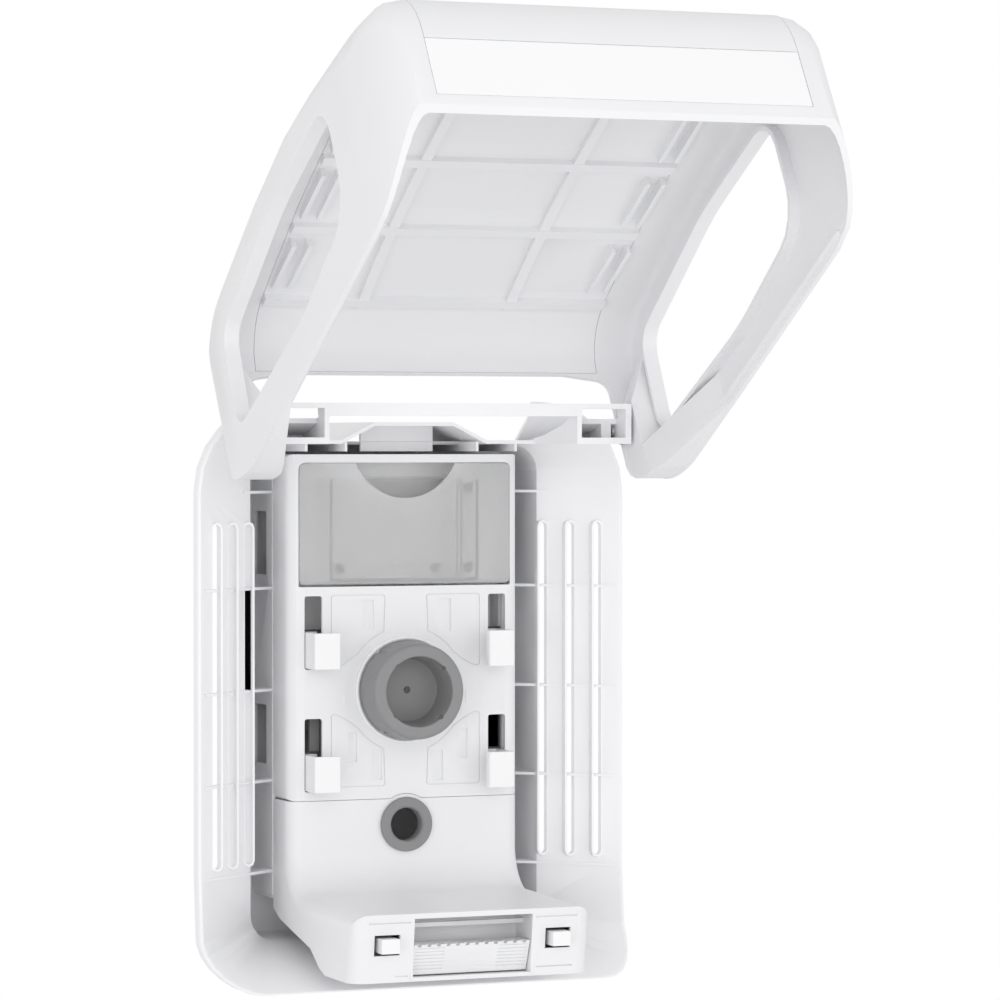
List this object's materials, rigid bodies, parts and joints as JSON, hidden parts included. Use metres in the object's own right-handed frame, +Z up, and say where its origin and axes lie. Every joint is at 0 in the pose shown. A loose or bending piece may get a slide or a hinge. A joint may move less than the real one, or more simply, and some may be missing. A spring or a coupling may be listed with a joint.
{
  "type": "wall-mounted equipment housing",
  "caption": "Wall-hung white plastic housing with a windowed lift-up cover, hook carriage, turning hub, tilt-out clear tray and a sprung release button.",
  "frame": {"origin": "in the wall plane, on the centre plane, level with the centre of the hub", "axes": "+Z up, -Y out of the wall towards the user, +X to the right as seen from the front; cover at rest open"},
  "size_m": [0.304, 0.4569, 0.6209],
  "materials": {
    "white_plastic": "fine satin moulded white",
    "bright_plastic": "smooth bright white",
    "gloss_white": "gloss",
    "clear_plastic": "clear",
    "grey_plastic": "matte mid grey",
    "dark_plastic": "matte dark grey",
    "grey_rubber": "matte grey rubber",
    "steel": "plated"
  },
  "bodies": {
    "housing": {"back_housing": "white_plastic", "hook_panel": "white_plastic", "lower_block": "white_plastic", "module_back_plate": "white_plastic", "module_screw_1": "steel", "module_screw_2": "steel", "module_screw_3": "steel", "module_screw_4": "steel", "hub_bezel": "bright_plastic", "tray_rest_pad": "grey_rubber", "grommet": "grey_rubber", "button_spring_left": "steel", "button_spring_right": "steel"},
    "cover": {"cover_frame": "white_plastic", "cover_front_panel": "white_plastic", "cover_lip_strip": "gloss_white", "hinge_pin_left": "steel", "hinge_pin_right": "steel", "friction_washer_left": "dark_plastic", "friction_washer_right": "dark_plastic"},
    "hub": {"hub_dial": "grey_plastic", "crank_disc": "dark_plastic", "crank_screw": "steel"},
    "hook_carriage": {"hook_carrier": "dark_plastic", "hook_upper_left": "bright_plastic", "hook_upper_right": "bright_plastic", "hook_lower_left": "bright_plastic", "hook_lower_right": "bright_plastic"},
    "tray": {"clear_tray": "clear_plastic", "tray_pin_left": "steel", "tray_pin_right": "steel"},
    "button": {"push_button": "white_plastic", "latch_bar": "bright_plastic"}
  },
  "joints": [
    {"name": "cover_hinge", "type": "hinge", "parent": "housing", "child": "cover", "pos_m": [0, -0.151, 0.174], "axis": [1, 0, 0], "range_deg": [0, 121.5]},
    {"name": "hub_turn", "type": "hinge", "parent": "housing", "child": "hub", "pos_m": [0, -0.08, 0], "axis": [0, -1, 0], "range_deg": [0, 90]},
    {"name": "hook_slide", "type": "slide", "parent": "housing", "child": "hook_carriage", "axis": [0, 0, 1], "range_m": [0, 0.0201]},
    {"name": "tray_tilt", "type": "hinge", "parent": "housing", "child": "tray", "pos_m": [0, -0.074, 0.075], "axis": [1, 0, 0], "range_deg": [0, 60]},
    {"name": "button_push", "type": "slide", "parent": "housing", "child": "button", "axis": [0, 1, 0], "range_m": [0, 0.004], "stiffness_N_per_m": 900, "springref_m": -0.003, "deforming": ["button_spring_left", "button_spring_right"]}
  ],
  "couplings": [
    {"joint": "hook_slide", "follows": "hub_turn", "m_per_rad": 0.012732}
  ]
}
